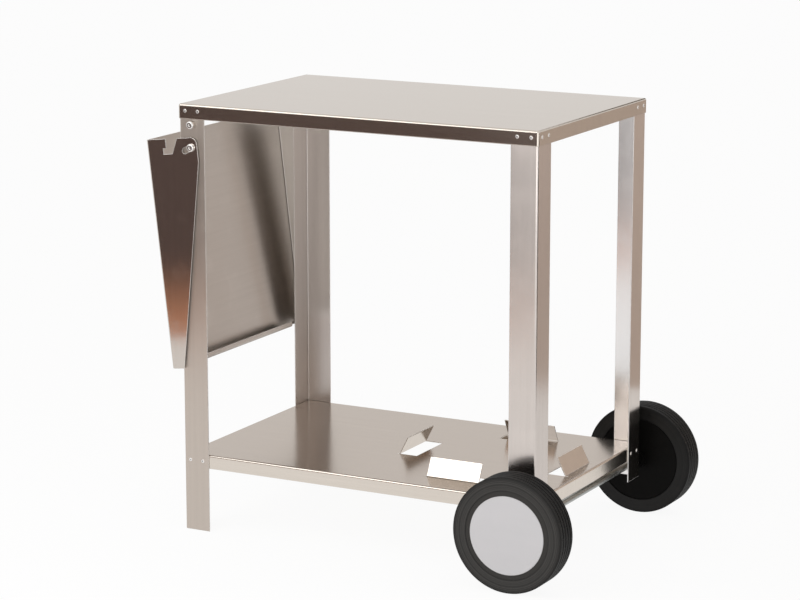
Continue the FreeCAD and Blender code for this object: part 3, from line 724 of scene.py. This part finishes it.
# camera, mirrors and glass all see the white ground
def seenRay(tree):
    path = put(tree, "LightPath").outputs
    seen = maths(tree, "MAXIMUM", path["Is Camera Ray"], path["Is Glossy Ray"])
    return maths(tree, "MAXIMUM", seen, path["Is Transmission Ray"])


def addStage(name, shape):
    mesh = bpy.data.meshes.new(name)
    shape.to_mesh(mesh)
    shape.free()
    piece = bpy.data.objects.new(name, mesh)
    scene.collection.objects.link(piece)
    material = bpy.data.materials.new(name)
    material.use_nodes = True
    material.node_tree.nodes.clear()
    mesh.materials.append(material)
    return piece, material.node_tree


def addFloor(values):
    shape = bmesh.new()
    bmesh.ops.create_grid(shape, x_segments=1, y_segments=1, size=values["floorHalf"])
    floor, tree = addStage("studioFloor", shape)
    paper = put(tree, "BsdfDiffuse", {"Color": values["floorColor"] + (1,)}).outputs[0]
    seenPaper = put(tree, "BsdfDiffuse", {"Color": plainWhite}).outputs[0]
    white = put(tree, "Emission", {"Color": plainWhite, "Strength": 1.0}).outputs[0]
    seen = put(tree, "MixShader", {0: values["floorWhite"], 1: seenPaper, 2: white}).outputs[0]
    surface = put(tree, "MixShader", {0: seenRay(tree), 1: paper, 2: seen}).outputs[0]
    put(tree, "OutputMaterial", {"Surface": surface})
    floor.active_material.cycles.emission_sampling = "NONE"


def setWorld(values):
    world = bpy.data.worlds.new("studioWorld")
    scene.world = world
    world.use_nodes = True
    tree = world.node_tree
    tree.nodes.clear()
    room = put(tree, "Background", {"Color": values["room"] + (1,), "Strength": 1.0}).outputs[0]
    white = put(tree, "Background", {"Color": plainWhite, "Strength": 1.0}).outputs[0]
    surface = put(tree, "MixShader", {0: seenRay(tree), 1: room, 2: white}).outputs[0]
    put(tree, "OutputWorld", {"Surface": surface})


# studio cards that stand out of sight and give the bright steel something to mirror
# headings are degrees from +X towards +Y, seen from the cart
cards = {
    "frontCard": {
        "place": (-0.985, -1.67), "heading": 242, "width": 1.52, "bottom": 0, "top": 0.68,
        "foot": 0.2, "footColor": (0.85, 0.42, 0.25), "color": (0.165, 0.122, 0.112)},
    "rightCard": {
        "place": (0.9, 1.05), "heading": 63, "width": 1.2, "bottom": 0, "top": 0.8,
        "foot": 0.2, "footColor": (0.95, 0.83, 0.75), "color": (0.95, 0.83, 0.75)},
    "highCard": {
        "place": (0.25, 2.49), "heading": 92, "width": 1.2, "bottom": 1.5, "top": 2.0,
        "foot": 0.2, "footColor": (0.3, 0.26, 0.23), "color": (0.3, 0.26, 0.23)},
    "gapCard": {
        "place": (1.6, 0.2), "heading": 18, "width": 1.3, "bottom": 0, "top": 0.55,
        "foot": 0.2, "footColor": (0.08, 0.07, 0.065), "color": (0.08, 0.07, 0.065)},
}


def addCard(name, values):
    shape = bmesh.new()
    corners = bmesh.ops.create_grid(shape, x_segments=1, y_segments=1, size=0.5)["verts"]
    height = values["top"] - values["bottom"]
    bmesh.ops.scale(shape, vec=(values["width"], height, 1), verts=corners)
    upright = Matrix.Rotation(radians(90), 4, "X")
    turn = Matrix.Rotation(radians(values["heading"] - 90), 4, "Z")
    bmesh.ops.transform(shape, matrix=turn @ upright, verts=corners)
    middle = values["place"] + (values["bottom"] + height / 2,)
    bmesh.ops.translate(shape, vec=middle, verts=corners)
    card, tree = addStage(name, shape)
    level = parted(tree, put(tree, "TexCoord").outputs["Object"])["Z"]
    glow = ramp(tree, level, values["foot"], 0.0)  # the foot of the card has its own colour
    tone = mixColor(tree, glow, values["color"] + (1,), values["footColor"] + (1,))
    board = put(tree, "BsdfDiffuse", {"Color": tone})
    put(tree, "OutputMaterial", {"Surface": board.outputs[0]})
    card.visible_camera = False
    card.visible_shadow = False


lamps = {
    "keyLamp": {
        "place": (-0.65, -1.4, 1.4), "aim": (-0.3, -0.85, 0),
        "size": (1.2, 1.0), "power": 8.0},
    "frontLamp": {
        "place": (0.75, -2.4, 0.7), "aim": (0.42, 0, 0.55),
        "size": (0.9, 1.0), "power": 5.0},
    "sideLamp": {
        "place": (2.3, -1.7, 0.75), "aim": (0.2, -0.1, 0.45),
        "size": (1.2, 1.2), "power": 4.0},
    "lowLamp": {
        "place": (-0.4, -2.35, 0.68), "aim": (0.26, -0.05, 0.14),
        "size": (0.5, 0.25), "power": 2.0},
}


def addLamp(name, values):
    data = bpy.data.lights.new(name, "AREA")
    data.shape = "RECTANGLE"
    data.size, data.size_y = values["size"]
    data.energy = values["power"]
    lamp = bpy.data.objects.new(name, data)
    lamp.location = values["place"]
    way = Vector(values["aim"]) - lamp.location
    lamp.rotation_euler = way.to_track_quat("-Z", "Y").to_euler()
    scene.collection.objects.link(lamp)


addFloor(studio)
setWorld(studio)
for name, values in cards.items():
    addCard(name, values)
for name, values in lamps.items():
    addLamp(name, values)
print("studio set")
